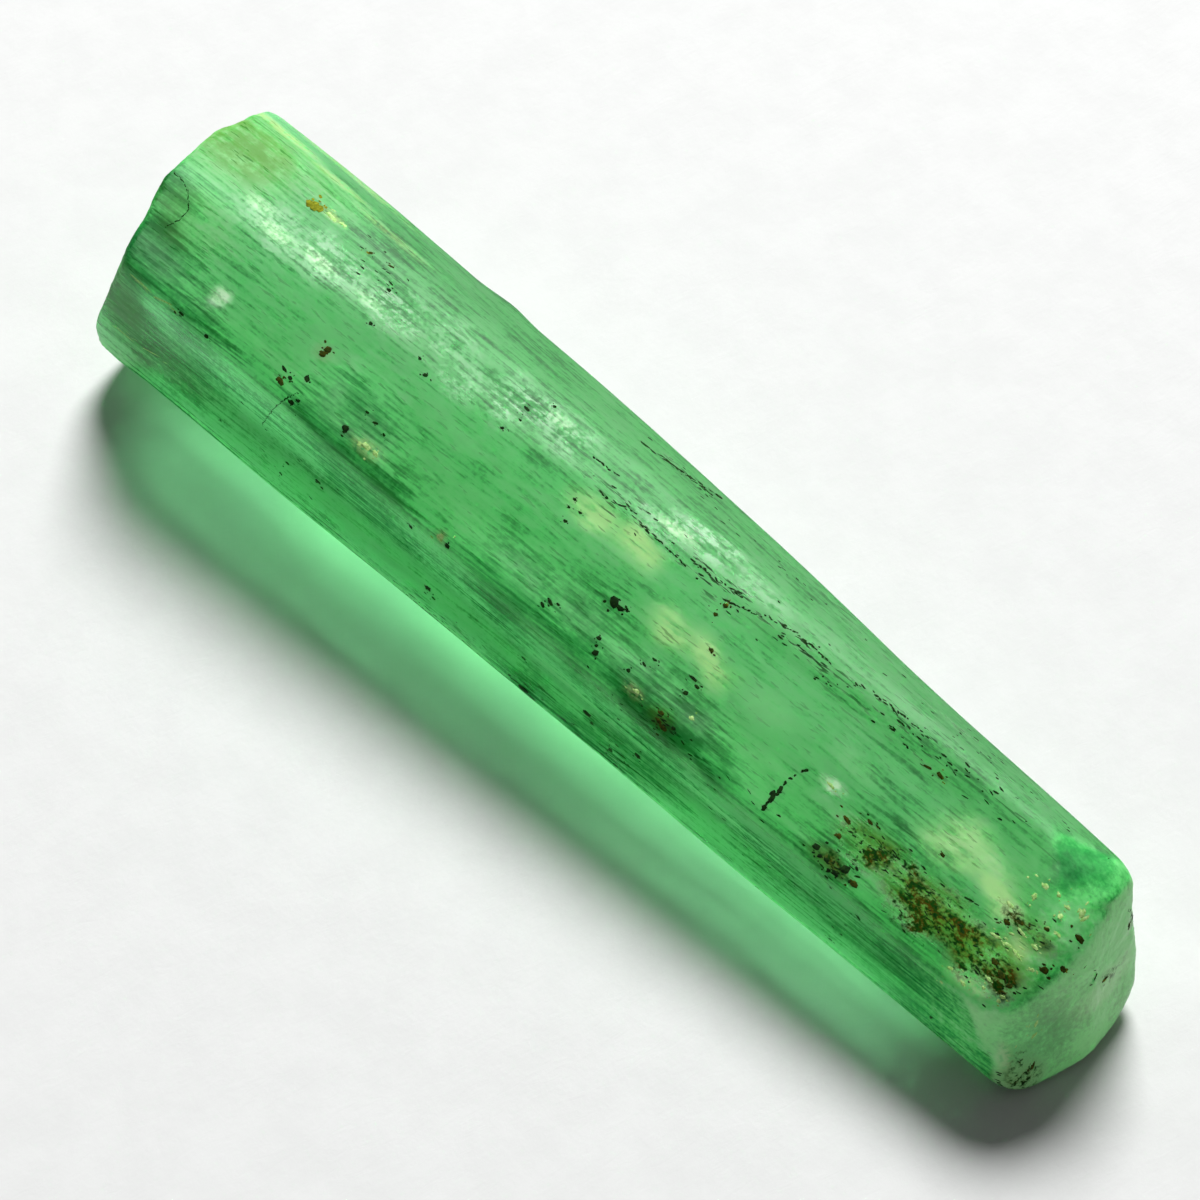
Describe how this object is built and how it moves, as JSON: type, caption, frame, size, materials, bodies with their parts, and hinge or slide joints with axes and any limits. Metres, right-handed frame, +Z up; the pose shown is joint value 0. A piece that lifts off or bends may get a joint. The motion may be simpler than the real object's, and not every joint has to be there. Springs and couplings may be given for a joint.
{
  "type": "emerald crystal",
  "caption": "Natural green beryl crystal: a slim tapering hexagonal prism lying on its side, one end broken, the other faceted and etched.",
  "frame": {"origin": "under the middle of the crystal's box, on the surface it rests on", "axes": "+X along the crystal toward its free faceted end, -Y its front face, +Z up"},
  "size_m": [0.0188, 0.0036, 0.0037],
  "materials": {
    "emerald": "natural growth faces, satin with lengthwise striations"
  },
  "bodies": {
    "root": {"emerald_crystal": "emerald"}
  },
  "joints": []
}
